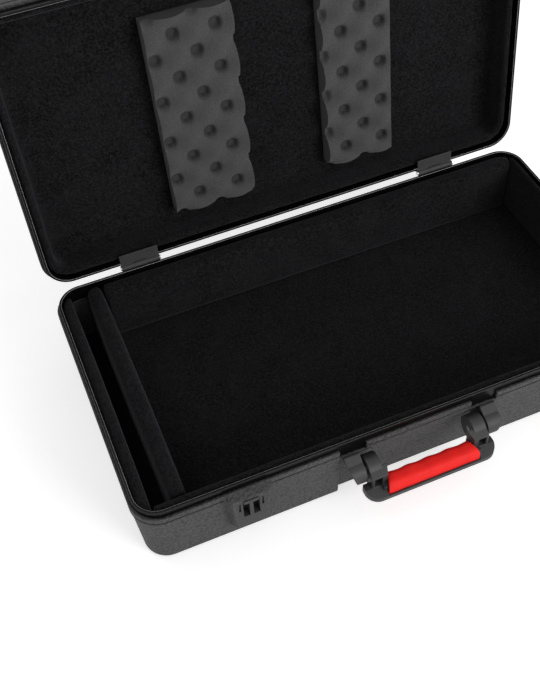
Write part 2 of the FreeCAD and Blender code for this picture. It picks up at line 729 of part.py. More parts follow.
def boss(side):
    lean = radians(boss_lean_angle)
    low_z = pivot[1] - boss_radius
    high_y = pivot[0] - boss_radius * cos(lean)
    high_z = pivot[1] + boss_radius * sin(lean)
    boss_back = bay_face_y(low_z)
    outline = [(boss_back, low_z + boss_under_rise), (pivot[0], low_z), pivot,
               (high_y, high_z), (front - boss_top_out, boss_top_height), (boss_back, boss_top_height)]
    shape = outline_x(outline, boss_inner, boss_outer)
    shape = shape.fuse(rod_x(boss_inner, boss_outer, pivot[0], pivot[1], boss_radius)).removeSplitter()
    foot_top = handle_bay_top - handle_bay_round
    foot = outline_x([(front - overrun, -overrun), (front - overrun, foot_top),
                      (bay_face_y(foot_top), foot_top), (bay_face_y(-overrun), -overrun)],
                     boss_inner, boss_outer)
    beyond = block(boss_inner, boss_outer, front - boss_radius * 3, front - seat_gap, -overrun, base_height)
    shape = shape.common(foot.fuse(beyond))
    foot_x = boss_inner + boss_foot_width
    flare = [(foot_x, -overrun), (foot_x, boss_flare_low), (boss_outer, boss_flare_high),
             (boss_outer + overrun, boss_flare_high), (boss_outer + overrun, -overrun)]
    corners = [V(x, -case_depth, z) for x, z in flare]
    shape = shape.cut(Part.Face(Part.makePolygon(corners + corners[:1])).extrude(V(0, case_depth, 0)))
    shape = shape.cut(rod_x(boss_inner - overrun, handle_pin_end, pivot[0], pivot[1], handle_pin_radius))
    if side < 0:
        shape = mirror_x(shape)
    for x, z, seat_y in boss_screw_places:
        shape = shape.cut(rod_y(seat_y - wall - boss_screw_length, seat_y, x, z, boss_screw_radius))
    return shape


for side, name in ((-1, "left"), (1, "right")):
    save("handle_boss_" + name, boss(side))
    pin = rod_x(arm_inner, handle_pin_end, pivot[0], pivot[1], handle_pin_radius)
    save("handle_pin_" + name, pin if side > 0 else mirror_x(pin))

screws = []
for x, z, seat_y in boss_screw_places:
    shaft = rod_y(seat_y - wall - boss_screw_length, seat_y, x, z, boss_screw_radius)
    head = rod_y(seat_y, seat_y + boss_screw_head_height, x, z, boss_screw_head_radius)
    screws.append(shaft.fuse(head).removeSplitter())
save("handle_screws", Part.makeCompound(screws))

grip_in_y = front - grip_inner_out
grip_out_y = front - grip_outer_out
frame_out_y = grip_out_y - tray_height
grip_z = handle_pivot_height - grip_drop
frame_low = handle_pivot_height - frame_drop
arm_high = handle_pivot_height + arm_hub_radius
arm_face_y = front - arm_face_out
shoulder_y = handle_pivot_y - shoulder_clear


def outline_z(points, z_low, z_high):
    """A solid whose XY outline is the list of points, from one height to another."""
    corners = [V(x, y, z_low) for x, y in points]
    return Part.Face(Part.makePolygon(corners + corners[:1])).extrude(V(0, 0, z_high - z_low))


def frame_half():
    """One arm and the lip below it, from the pivot to the end of the bar."""
    inner_side = [(grip_half_outer, frame_out_y), (grip_half_outer, grip_out_y),
                  (grip_half_inner, grip_in_y), (arm_inner, grip_in_y)]
    arm = outline_z([(arm_inner, handle_pivot_y), (arm_outer, handle_pivot_y), (arm_outer, frame_out_y)]
                    + inner_side, frame_low, arm_high)
    side_view = [(handle_pivot_y, arm_high), (arm_face_y, arm_high - arm_brow_drop), (arm_face_y, frame_low),
                 (shoulder_y, frame_low), (handle_pivot_y, handle_pivot_height - arm_hub_radius)]
    arm = arm.common(outline_x(side_view, 0, case_width))
    lip = outline_z([(arm_outer - wall, shoulder_y), (shoulder_outer, shoulder_y),
                     (shoulder_outer, frame_out_y)]
                    + inner_side[:-1] + [(arm_outer - wall, grip_in_y)], frame_low, frame_low + lip_height)
    lip = fillet_along(lip, lip_round, "z", lambda b: b.YMax < grip_out_y and b.XMin > arm_outer)
    lip = fillet_along(lip, shoulder_round, "z", lambda b: b.YMin > grip_out_y and b.XMin > arm_outer)
    lip_view = [(handle_pivot_y, frame_low), (frame_out_y, frame_low),
                (frame_out_y, frame_low + lip_end_height),
                (arm_face_y, frame_low + lip_height), (handle_pivot_y, frame_low + lip_height)]
    lip = lip.common(outline_x(lip_view, 0, case_width))
    hub = rod_x(arm_inner, arm_outer, handle_pivot_y, handle_pivot_height, arm_hub_radius)
    shape = join([arm, lip, hub])
    window_x = (arm_inner + arm_outer) / 2
    window_z = frame_low + window_rise
    shape = shape.cut(block(window_x - window_width / 2, window_x + window_width / 2, arm_face_y - overrun,
                            arm_face_y + window_depth, window_z, window_z + window_height))
    return shape.cut(rod_x(arm_inner - overrun, arm_outer + overrun, handle_pivot_y, handle_pivot_height,
                           handle_pin_radius + pin_clearance))


half = frame_half()
bar_low = grip_z - frame_bar_height / 2
bar = block(-arm_inner - wall, arm_inner + wall, grip_out_y + frame_bar_inset,
            grip_in_y - frame_bar_inset, bar_low, bar_low + frame_bar_height)
tray = block(-grip_half_outer, grip_half_outer, frame_out_y, grip_out_y,
             frame_low, frame_low + lip_end_height)
handle_frame = join([half, mirror_x(half), bar, tray])
save("handle_frame", handle_frame)

grip_low = grip_z - grip_height / 2
grip_outline = [(-grip_half_inner, grip_in_y), (grip_half_inner, grip_in_y), (grip_half_outer, grip_out_y),
                (-grip_half_outer, grip_out_y)]
grip_corners = [V(x, y, grip_low) for x, y in grip_outline]
grip = Part.Face(Part.makePolygon(grip_corners + grip_corners[:1])).extrude(V(0, 0, grip_height))
grip = fillet_along(grip, grip_round, "x")
save("handle_grip", grip.cut(handle_frame))
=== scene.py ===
import bpy
import json
import math
from mathutils import Matrix, Vector


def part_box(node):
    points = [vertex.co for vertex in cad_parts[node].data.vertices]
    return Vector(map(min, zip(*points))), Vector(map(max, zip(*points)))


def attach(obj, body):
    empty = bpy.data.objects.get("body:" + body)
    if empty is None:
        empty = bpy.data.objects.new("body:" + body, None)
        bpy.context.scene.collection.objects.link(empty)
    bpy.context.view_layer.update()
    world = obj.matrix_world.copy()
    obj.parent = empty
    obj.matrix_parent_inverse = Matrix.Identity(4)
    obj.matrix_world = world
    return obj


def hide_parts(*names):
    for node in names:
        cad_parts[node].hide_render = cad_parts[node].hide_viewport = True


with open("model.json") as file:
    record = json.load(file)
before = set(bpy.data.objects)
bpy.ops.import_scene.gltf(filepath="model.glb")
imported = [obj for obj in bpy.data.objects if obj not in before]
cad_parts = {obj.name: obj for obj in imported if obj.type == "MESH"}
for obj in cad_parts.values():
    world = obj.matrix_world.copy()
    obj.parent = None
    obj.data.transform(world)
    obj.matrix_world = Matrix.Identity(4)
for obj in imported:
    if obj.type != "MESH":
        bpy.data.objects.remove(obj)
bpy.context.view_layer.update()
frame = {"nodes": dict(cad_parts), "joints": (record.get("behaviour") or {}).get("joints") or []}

# Camera
# It stands where the photographer stood: high over the front left corner, looking down
# into the open case.
lens_mm = 50.26
sensor_mm = 36
picture_shift = (0.0036, -0.0069)
clip_far = 20
camera_place = Vector((-0.3557, -0.7037, 1.0131))
camera_azimuth = math.radians(-19.13)
camera_elevation = math.radians(51.11)
camera_roll = math.radians(-4.21)
bpy.ops.object.select_all(action="DESELECT")
bpy.ops.object.camera_add(location=camera_place)
camera = bpy.context.object
looking = Vector((-math.sin(camera_azimuth) * math.cos(camera_elevation),
                  math.cos(camera_azimuth) * math.cos(camera_elevation),
                  -math.sin(camera_elevation)))
level_right = Vector((math.cos(camera_azimuth), math.sin(camera_azimuth), 0))
level_up = level_right.cross(looking)
camera_right = level_right * math.cos(camera_roll) + level_up * math.sin(camera_roll)
camera_up = level_up * math.cos(camera_roll) - level_right * math.sin(camera_roll)
turn = Matrix((camera_right, camera_up, -looking)).transposed()
camera.rotation_euler = turn.to_euler()
camera.data.lens = lens_mm
camera.data.sensor_width = sensor_mm
camera.data.shift_x, camera.data.shift_y = picture_shift
camera.data.clip_end = clip_far
bpy.context.scene.camera = camera
bpy.context.scene.view_settings.view_transform = "Standard"

# Base shell and lid shell: moulded polyethylene
# Two thick-walled plastic trays from one pair of moulds. The mould's sandblasted face leaves
# a fine pebble grain, and handling dulls and pales the corners a little.


def open_group(name, numbers, outputs):
    """A shader node group that takes a position and some numbers, with its two end nodes."""
    group = bpy.data.node_groups.new(name, "ShaderNodeTree")
    group.interface.new_socket("Place", in_out="INPUT", socket_type="NodeSocketVector")
    for word, value in numbers:
        socket = group.interface.new_socket(word, in_out="INPUT", socket_type="NodeSocketFloat")
        socket.default_value = value
    for word, kind in outputs:
        group.interface.new_socket(word, in_out="OUTPUT", socket_type=kind)
    start = group.nodes.new("NodeGroupInput")
    end = group.nodes.new("NodeGroupOutput")
    return group, start, end


def add_node(tree, kind, **values):
    """A node of that kind. A value is set on a property, or on an input by its name or number."""
    node = tree.nodes.new(kind)
    for key, value in values.items():
        if hasattr(node, key):
            setattr(node, key, value)
            continue
        numbered = key[0] == "i" and key[1:].isdigit()
        socket = int(key[1:]) if numbered else key.replace("_", " ").title()
        node.inputs[socket].default_value = value
    return node


def pebble_grain_group():
    """Rounded pebbles of two sizes with fine sand between them."""
    group, start, end = open_group("Pebble grain", [("Pitch", 0.0014), ("Sand", 0.35)],
                                   [("Height", "NodeSocketFloat"), ("Tone", "NodeSocketFloat")])
    link = group.links.new
    per_metre = add_node(group, "ShaderNodeMath", operation="DIVIDE", i0=1.0)
    link(start.outputs["Pitch"], per_metre.inputs[1])
    pebbles = add_node(group, "ShaderNodeTexVoronoi", feature="SMOOTH_F1", smoothness=0.6)
    link(start.outputs["Place"], pebbles.inputs["Vector"])
    link(per_metre.outputs[0], pebbles.inputs["Scale"])
    finer = add_node(group, "ShaderNodeMath", operation="MULTIPLY", i1=2.7)
    link(per_metre.outputs[0], finer.inputs[0])
    sand = add_node(group, "ShaderNodeTexNoise", detail=3.0, roughness=0.6)
    link(start.outputs["Place"], sand.inputs["Vector"])
    link(finer.outputs[0], sand.inputs["Scale"])
    dome = add_node(group, "ShaderNodeMath", operation="SUBTRACT", i0=1.0)
    link(pebbles.outputs["Distance"], dome.inputs[1])
    height = add_node(group, "ShaderNodeMath", operation="MULTIPLY_ADD")
    link(sand.outputs[0], height.inputs[0])
    link(start.outputs["Sand"], height.inputs[1])
    link(dome.outputs[0], height.inputs[2])
    link(height.outputs[0], end.inputs["Height"])
    tone = add_node(group, "ShaderNodeMapRange", i1=0.35, i2=1.2)
    link(height.outputs[0], tone.inputs[0])
    link(tone.outputs[0], end.inputs["Tone"])
    return group


def edge_wear_and_highlight_group():
    """1 on an edge and 0 on open faces, as a mask broken by noise for wear and as a whole line for
    a painted highlight.
    """
    group, start, end = open_group("Edge wear and painted highlight", [("Reach", 0.002), ("Breaks", 60.0)],
                                   [("Mask", "NodeSocketFloat"), ("Line", "NodeSocketFloat"),
                                    ("Round", "NodeSocketVector")])
    link = group.links.new
    rounded = add_node(group, "ShaderNodeBevel", samples=6)
    link(start.outputs["Reach"], rounded.inputs["Radius"])
    flat = add_node(group, "ShaderNodeNewGeometry")
    alike = add_node(group, "ShaderNodeVectorMath", operation="DOT_PRODUCT")
    link(rounded.outputs[0], alike.inputs[0])
    link(flat.outputs["True Normal"], alike.inputs[1])
    bent = add_node(group, "ShaderNodeMapRange", i1=0.995, i2=0.80)
    link(alike.outputs["Value"], bent.inputs[0])
    breaks = add_node(group, "ShaderNodeTexNoise", detail=4.0, roughness=0.65)
    link(start.outputs["Place"], breaks.inputs["Vector"])
    link(start.outputs["Breaks"], breaks.inputs["Scale"])
    patchy = add_node(group, "ShaderNodeMapRange", i1=0.38, i2=0.68)
    link(breaks.outputs[0], patchy.inputs[0])
    mask = add_node(group, "ShaderNodeMath", operation="MULTIPLY", use_clamp=True)
    link(bent.outputs[0], mask.inputs[0])
    link(patchy.outputs[0], mask.inputs[1])
    link(mask.outputs[0], end.inputs["Mask"])
    link(bent.outputs[0], end.inputs["Line"])
    link(rounded.outputs[0], end.inputs["Round"])
    return group


def handling_group():
    """Slow cloudy changes from handling and dust, in two sizes."""
    group, start, end = open_group("Handling marks", [("Size", 0.12)],
                                   [("Cloud", "NodeSocketFloat")])
    link = group.links.new
    per_metre = add_node(group, "ShaderNodeMath", operation="DIVIDE", i0=1.0)
    link(start.outputs["Size"], per_metre.inputs[1])
    cloud = add_node(group, "ShaderNodeTexNoise", detail=5.0, roughness=0.62, distortion=0.6)
    link(start.outputs["Place"], cloud.inputs["Vector"])
    link(per_metre.outputs[0], cloud.inputs["Scale"])
    even = add_node(group, "ShaderNodeMapRange", i1=0.3, i2=0.7)
    link(cloud.outputs[0], even.inputs[0])
    link(even.outputs[0], end.inputs["Cloud"])
    return group


pebble_grain = pebble_grain_group()
edge_wear_and_highlight = edge_wear_and_highlight_group()
handling_marks = handling_group()


def new_finish(name, **sockets):
    """A material with one Principled shader, and the Object position that its patterns use."""
    material = bpy.data.materials.new(name)
    material.use_nodes = True
    tree = material.node_tree
    shader = tree.nodes["Principled BSDF"]
    for word, value in sockets.items():
        shader.inputs[word.replace("_", " ").title().replace("Ior", "IOR")].default_value = value
    place = tree.nodes.new("ShaderNodeTexCoord").outputs["Object"]
    return material, tree, shader, place


def use_group(tree, group, place, **numbers):
    """A shared node group placed in a material, with this material's own numbers."""
    node = tree.nodes.new("ShaderNodeGroup")
    node.node_tree = group
    tree.links.new(place, node.inputs["Place"])
    for word, value in numbers.items():
        node.inputs[word.title()].default_value = value
    return node


def blend_colours(tree, amount, low, high):
    """A colour between two, by a mask."""
    mix = tree.nodes.new("ShaderNodeMix")
    mix.data_type = "RGBA"
    tree.links.new(amount, mix.inputs[0])
    for socket, colour in ((mix.inputs[6], low), (mix.inputs[7], high)):
        if isinstance(colour, tuple):
            socket.default_value = (*colour, 1)
        else:
            tree.links.new(colour, socket)
    return mix.outputs[2]


def ranged(tree, value, low, high):
    """A 0 to 1 mask stretched to another range."""
    node = add_node(tree, "ShaderNodeMapRange", i3=low, i4=high)
    tree.links.new(value, node.inputs[0])
    return node.outputs[0]


def raised(tree, height, depth, under=None):
    """A normal from a height, whose full range stands that far out in metres."""
    bump = add_node(tree, "ShaderNodeBump", strength=1.0, distance=depth)
    tree.links.new(height, bump.inputs["Height"])
    if under is not None:
        tree.links.new(under, bump.inputs["Normal"])
    return bump.outputs[0]


def grained_plastic(name, dark, light, worn, pitch, depth, dull=(0.42, 0.6), reach=0.002):
    """Black moulded plastic with a pebble grain, handling marks, paler worn edges and painted shade
    in its grooves.
    """
    material, tree, shader, place = new_finish(name, specular_ior_level=0.35)
    grain = use_group(tree, pebble_grain, place, pitch=pitch)
    edge = use_group(tree, edge_wear_and_highlight, place, reach=reach)
    cloud = use_group(tree, handling_marks, place, size=0.11)
    body = blend_colours(tree, grain.outputs["Tone"], dark, light)
    hazy = blend_colours(tree, ranged(tree, cloud.outputs["Cloud"], 0.0, 0.35), body, light)
    rubbed = blend_colours(tree, ranged(tree, edge.outputs["Mask"], 0.0, 0.75), hazy, worn)
    # Painted shade: grooves and inner corners are darkened to the dark grain colour by an occlusion
    # mask.
    groove_painted_shade = add_node(tree, "ShaderNodeAmbientOcclusion", samples=8, distance=0.007)
    unshaded_share = add_node(tree, "ShaderNodeMapRange", i1=0.35, i2=0.85)
    tree.links.new(groove_painted_shade.outputs["AO"], unshaded_share.inputs[0])
    tree.links.new(blend_colours(tree, unshaded_share.outputs[0], dark, rubbed), shader.inputs["Base Color"])
    tree.links.new(ranged(tree, cloud.outputs["Cloud"], *dull), shader.inputs["Roughness"])
    pebbled = raised(tree, grain.outputs["Height"], depth, edge.outputs["Round"])
    tree.links.new(pebbled, shader.inputs["Normal"])
    return material


def dress(material, *nodes):
    """Puts one finish on some CAD nodes."""
    for name in nodes:
        slots = frame["nodes"][name].material_slots
        if not slots:
            frame["nodes"][name].data.materials.append(material)
        for slot in slots:
            slot.material = material


shell_plastic = grained_plastic("moulded shell plastic", dark=(0.005, 0.005, 0.0052),
                                light=(0.074, 0.074, 0.076), worn=(0.09, 0.09, 0.093),
                                pitch=0.003, depth=0.0009, dull=(0.56, 0.74))
dress(shell_plastic, "base_shell", "lid_shell")

# Rim strips: bent black extrusions
# A smooth satin strip lines the edge of each shell. The two meet when the case is shut. Drawing
# it through the die leaves faint lines along it. A pale line on all its edges is a painted
# highlight.
rim_black = (0.0022, 0.0022, 0.0023)
rim_painted_highlight = (0.62, 0.62, 0.625)
drawn_line_depth = 0.00004
rim_satin, tree, shader, place = new_finish("satin rim strip", specular_ior_level=0.1)
edge = use_group(tree, edge_wear_and_highlight, place, reach=0.001)
cloud = use_group(tree, handling_marks, place, size=0.05)
# Painted highlight: a pale line is painted along every edge of the strip.
tree.links.new(blend_colours(tree, edge.outputs["Line"], rim_black, rim_painted_highlight),
               shader.inputs["Base Color"])
tree.links.new(ranged(tree, cloud.outputs["Cloud"], 0.2, 0.36), shader.inputs["Roughness"])
drawn = add_node(tree, "ShaderNodeTexNoise", scale=60.0, detail=2.0)
flattened = add_node(tree, "ShaderNodeMapping", vector_type="POINT", scale=(1.0, 1.0, 60.0))
tree.links.new(place, flattened.inputs["Vector"])
tree.links.new(flattened.outputs[0], drawn.inputs["Vector"])
tree.links.new(raised(tree, drawn.outputs[0], drawn_line_depth, edge.outputs["Round"]),
               shader.inputs["Normal"])
dress(rim_satin, "base_rim", "lid_rim")

# Base padding: floor pad and four wall pads
# Foam boards wrapped in black plush and glued to the shell. The pile is short and dense. Its
# tops are rounded where the plush is pulled over the foam, and hands leave strokes in the nap.


def plush_group():
    """A short pile: tufts of two sizes, and the strokes that a hand leaves in it."""
    group, start, end = open_group("Plush pile", [("Tuft", 0.003), ("Stroke", 0.07)],
                                   [("Height", "NodeSocketFloat"), ("Nap", "NodeSocketFloat"),
                                    ("Fleck", "NodeSocketFloat")])
    link = group.links.new
    per_tuft = add_node(group, "ShaderNodeMath", operation="DIVIDE", i0=1.0)
    link(start.outputs["Tuft"], per_tuft.inputs[1])
    tufts = add_node(group, "ShaderNodeTexNoise", detail=4.0, roughness=0.75, distortion=0.5)
    link(start.outputs["Place"], tufts.inputs["Vector"])
    link(per_tuft.outputs[0], tufts.inputs["Scale"])
    fibres = add_node(group, "ShaderNodeTexVoronoi", feature="F1", randomness=1.0)
    finer = add_node(group, "ShaderNodeMath", operation="MULTIPLY", i1=3.0)
    link(per_tuft.outputs[0], finer.inputs[0])
    link(finer.outputs[0], fibres.inputs["Scale"])
    link(start.outputs["Place"], fibres.inputs["Vector"])
    pile = add_node(group, "ShaderNodeMath", operation="MULTIPLY_ADD", i1=-0.45)
    link(fibres.outputs["Distance"], pile.inputs[0])
    link(tufts.outputs[0], pile.inputs[2])
    link(pile.outputs[0], end.inputs["Height"])
    per_stroke = add_node(group, "ShaderNodeMath", operation="DIVIDE", i0=1.0)
    link(start.outputs["Stroke"], per_stroke.inputs[1])
    strokes = add_node(group, "ShaderNodeTexNoise", detail=3.0, roughness=0.5, distortion=1.6)
    link(start.outputs["Place"], strokes.inputs["Vector"])
    link(per_stroke.outputs[0], strokes.inputs["Scale"])
    nap = add_node(group, "ShaderNodeMapRange", interpolation_type="SMOOTHSTEP", i1=0.36, i2=0.64)
    link(strokes.outputs[0], nap.inputs[0])
    link(nap.outputs[0], end.inputs["Nap"])
    fleck = add_node(group, "ShaderNodeMapRange", i1=0.42, i2=0.66)
    link(tufts.outputs[0], fleck.inputs[0])
    link(fleck.outputs[0], end.inputs["Fleck"])
    return group


plush_pile = plush_group()
plush_deep = (0.001, 0.001, 0.0012)
plush_stroked = (0.0055, 0.0055, 0.006)
plush_tip = (0.024, 0.024, 0.0262)
plush_sheen = (0.5, 0.5, 0.56, 1)
pile_depth = 0.0007
plush, tree, shader, place = new_finish("black plush", specular_ior_level=0.08, sheen_weight=0.12,
                                        sheen_roughness=0.45)
shader.inputs["Sheen Tint"].default_value = plush_sheen
pile = use_group(tree, plush_pile, place)
smooth_nap = blend_colours(tree, pile.outputs["Nap"], plush_deep, plush_stroked)
flecked = blend_colours(tree, ranged(tree, pile.outputs["Fleck"], 0.0, 0.7), smooth_nap, plush_tip)
tree.links.new(flecked, shader.inputs["Base Color"])
tree.links.new(ranged(tree, pile.outputs["Nap"], 0.86, 0.97), shader.inputs["Roughness"])
tree.links.new(raised(tree, pile.outputs["Height"], pile_depth), shader.inputs["Normal"])


def finish_modifiers(piece):
    """Applies a piece's modifiers in order, as by hand."""
    bpy.ops.object.select_all(action="DESELECT")
    piece.select_set(True)
    bpy.context.view_layer.objects.active = piece
    for modifier in list(piece.modifiers):
        bpy.ops.object.modifier_apply(modifier=modifier.name)


def even_copy(name, node, voxel, relax, placed=None):
    """A copy of a foam node as one even mesh, with its cut edges relaxed by the cover."""
    mesh = frame["nodes"][node].data.copy()
    mesh.materials.clear()
    if placed is not None:
        mesh.transform(placed)
    piece = bpy.data.objects.new(name, mesh)
    bpy.context.scene.collection.objects.link(piece)
    bpy.ops.object.select_all(action="DESELECT")
    piece.select_set(True)
    bpy.context.view_layer.objects.active = piece
    bpy.ops.object.mode_set(mode="EDIT")
    bpy.ops.mesh.select_all(action="SELECT")
    bpy.ops.mesh.remove_doubles(threshold=0.00001)
    bpy.ops.object.mode_set(mode="OBJECT")
    even = piece.modifiers.new("even", "REMESH")
    even.mode = "VOXEL"
    even.voxel_size = voxel
    soft = piece.modifiers.new("relax", "SMOOTH")
    soft.factor = 0.5
    soft.iterations = relax
    finish_modifiers(piece)
    return piece


dents = bpy.data.textures.new("slow dents", "CLOUDS")
dents.noise_scale = 0.07
dents.noise_depth = 2
puckers = bpy.data.textures.new("puckers", "CLOUDS")
puckers.noise_scale = 0.018
puckers.noise_depth = 1


def crown(piece, facing, height):
    """Lets the faces that look one way stand out most at their middle and not at their rim."""
    least_turned = 0.3
    fullness = 2.5
    points = [v.co for v in piece.data.vertices]
    low = Vector(tuple(min(p[i] for p in points) for i in range(3)))
    high = Vector(tuple(max(p[i] for p in points) for i in range(3)))
    across = [i for i in range(3) if abs(facing[i]) < 0.5]
    for vertex in piece.data.vertices:
        turned = vertex.normal.dot(facing)
        if turned > least_turned:
            swell = turned
            for i in across:
                u = (vertex.co[i] - low[i]) / (high[i] - low[i])
                swell *= 1 - abs(2 * u - 1) ** fullness
            vertex.co += facing * height * swell


def cover_in_plush(piece, node, body, dent, pucker, levels):
    """Dents the foam a little, always inwards, rounds it once more and gives it the plush."""
    for texture, depth in ((dents, dent), (puckers, pucker)):
        modifier = piece.modifiers.new("dents", "DISPLACE")
        modifier.texture = texture
        modifier.texture_coords = "LOCAL"
        modifier.strength = depth
        modifier.mid_level = 1.0
    if levels:
        smoother = piece.modifiers.new("smoother", "SUBSURF")
        smoother.levels = levels
        smoother.render_levels = levels
    finish_modifiers(piece)
    bpy.ops.object.shade_smooth()
    piece.data.materials.append(plush)
    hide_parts(node)
    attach(piece, body)


# Each row gives the CAD node, the mesh's size of square, the times it is relaxed, the side that
# swells and how far, and the last rounds of smoothing.
pad_dent = 0.0012
pad_pucker = 0.0006
base_pads = (
    ("floor_pad", 0.006, 3, Vector((0, 0, 1)), 0.0, 1),
    ("left_pad", 0.0035, 4, Vector((1, 0, 0)), 0.0015, 1),
    ("right_pad", 0.003, 3, Vector((-1, 0, 0)), 0.0015, 1),
    ("front_pad", 0.0018, 4, Vector((0, 1, 0)), 0.0015, 0),
    ("back_pad", 0.004, 4, Vector((0, -1, 0)), 0.003, 1),
)
for node, voxel, relax, facing, height, levels in base_pads:
    pad = even_copy(node + "_cover", node, voxel, relax)
    if height:
        crown(pad, facing, height)
    cover_in_plush(pad, node, "base", pad_dent, pad_pucker, levels)

# Cable divider: a loose foam bar
# It stands between the cable trench and the seat of the floor unit. It is wrapped all round,
# so both its top edges are full and soft.
divider_swell = 0.0015
divider = even_copy("cable_divider_cover", "cable_divider", voxel=0.0035, relax=5)
for side in (-1, 1):
    crown(divider, Vector((side, 0, 0)), divider_swell)
cover_in_plush(divider, "cable_divider", "base", dent=0.0012, pucker=0.0008, levels=1)

# Lid lining: one padded tray
# Plush over foam fills the lid, sides and top in one piece, with wide soft inner corners.
hinge = next(j for j in frame["joints"] if j["name"] == "lid_hinge")
hinge_point = Vector(hinge["pos_m"])
lid_shut_angle = math.radians(hinge["range_deg"][1])
shutting = (Matrix.Translation(hinge_point) @ Matrix.Rotation(lid_shut_angle, 4, "X")
            @ Matrix.Translation(-hinge_point))
lining = even_copy("lid_lining_cover", "lid_lining", voxel=0.0055, relax=4, placed=shutting)
lining.data.transform(shutting.inverted())
cover_in_plush(lining, "lid_lining", "lid", dent=0.0012, pucker=0.0008, levels=1)

# Lid wave foams: two blocks of convoluted foam
# They press on the unit when the lid shuts. Each is a flat-backed block cut by rollers, with
# round peaks and small square pits in turn, and its cut ends show the wave.
foam_back = 0.1529
foam_base = 0.009
foam_peak = 0.0145
wave_across = 0.052
wave_along = 0.054
pit_place = Vector((-0.087, 0.096))
pit_rim = 0.42
pit_floor = 0.84
plain_height = 0.72
swing_height = 0.28
pit_height = 0.06
foam_cuts = 95
foam_sharp = math.radians(50)
foam_blocks = (("wave_foam_1", -0.147, -0.039), ("wave_foam_2", 0.069, 0.161))
foam_low_y, foam_high_y = -0.1155, 0.1445

foam_skin = (0.1, 0.1, 0.102)
foam_pore = (0.055, 0.055, 0.056)
foam_dust = (0.07, 0.07, 0.072)
foam_painted_shade = (0.012, 0.012, 0.0125)
foam_grey, tree, shader, place = new_finish("grey open foam", specular_ior_level=0.15,
                                            sheen_weight=0.12, sheen_roughness=0.6,
                                            roughness=0.95)
cells = add_node(tree, "ShaderNodeTexVoronoi", feature="F1", scale=900.0)
tree.links.new(place, cells.inputs["Vector"])
pores = add_node(tree, "ShaderNodeMapRange", i1=0.15, i2=0.6)
tree.links.new(cells.outputs["Distance"], pores.inputs[0])
cloud = use_group(tree, handling_marks, place, size=0.03)
sponge = blend_colours(tree, pores.outputs[0], foam_skin, foam_pore)
clouded = blend_colours(tree, ranged(tree, cloud.outputs["Cloud"], 0.0, 0.45), sponge, foam_dust)
# Painted shade: the pits and hollows between the peaks are darkened by an occlusion mask.
hollow = add_node(tree, "ShaderNodeAmbientOcclusion", samples=8, distance=0.016)
open_side = add_node(tree, "ShaderNodeMapRange", i1=0.4, i2=0.8)
tree.links.new(hollow.outputs["AO"], open_side.inputs[0])
tree.links.new(blend_colours(tree, open_side.outputs[0], foam_painted_shade, clouded),
               shader.inputs["Base Color"])
tree.links.new(raised(tree, cells.outputs["Distance"], -0.0006), shader.inputs["Normal"])


def wave_height(x, y):
    """Height of the foam over its base: 1 on a peak, 0 in a pit. The pits are small and steep."""
    swing = (math.cos(2 * math.pi * (x - pit_place.x) / wave_across)
             * math.cos(2 * math.pi * (y - pit_place.y) / wave_along))
    pit = min(max((swing - pit_rim) / (pit_floor - pit_rim), 0.0), 1.0)
    pit = pit * pit * (3 - 2 * pit)
    return (plain_height - swing_height * swing) * (1 - pit) + pit_height * pit


for node, low_x, high_x in foam_blocks:
    across = high_x - low_x
    along = foam_high_y - foam_low_y
    bpy.ops.object.select_all(action="DESELECT")
    middle = ((low_x + high_x) / 2, (foam_low_y + foam_high_y) / 2, foam_back - foam_base / 2)
    bpy.ops.mesh.primitive_cube_add(size=1, location=middle, scale=(across, along, foam_base))
    block = bpy.context.object
    block.name = node + "_block"
    bpy.ops.object.transform_apply(location=True, rotation=True, scale=True)
    bpy.ops.object.mode_set(mode="EDIT")
    bpy.ops.mesh.select_all(action="SELECT")
    bpy.ops.mesh.subdivide(number_cuts=foam_cuts)
    bpy.ops.object.mode_set(mode="OBJECT")
    for vertex in block.data.vertices:
        depth = (foam_back - vertex.co.z) / foam_base
        height = foam_base + foam_peak * wave_height(vertex.co.x, vertex.co.y)
        vertex.co.z = foam_back - height * depth
    block.data.transform(shutting.inverted())
    bpy.ops.object.shade_smooth_by_angle(angle=foam_sharp)
    block.data.materials.append(foam_grey)
    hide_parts(node)
    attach(block, "lid")

# Hinges: pressed steel leaves on a steel pin
# Each leaf is bent round the pin and powder coated black. Blackened rivets hold it.
paint_dark = (0.031, 0.031, 0.0325)
paint_light = (0.046, 0.046, 0.048)
paint_rubbed = (0.11, 0.11, 0.115)
paint_relief = 0.00012
hinge_paint, tree, shader, place = new_finish("powder coated steel", specular_ior_level=0.3)
peel = add_node(tree, "ShaderNodeTexNoise", scale=750.0, detail=2.0)
tree.links.new(place, peel.inputs["Vector"])
edge = use_group(tree, edge_wear_and_highlight, place, reach=0.001, breaks=140.0)
cloud = use_group(tree, handling_marks, place, size=0.03)
paint = blend_colours(tree, cloud.outputs["Cloud"], paint_dark, paint_light)
tree.links.new(blend_colours(tree, edge.outputs["Mask"], paint, paint_rubbed),
               shader.inputs["Base Color"])
tree.links.new(ranged(tree, peel.outputs[0], 0.55, 0.7), shader.inputs["Roughness"])
tree.links.new(raised(tree, peel.outputs[0], paint_relief, edge.outputs["Round"]),
               shader.inputs["Normal"])
dress(hinge_paint, "hinge_base_leaf_left", "hinge_base_leaf_right", "hinge_lid_leaf_left",
      "hinge_lid_leaf_right")


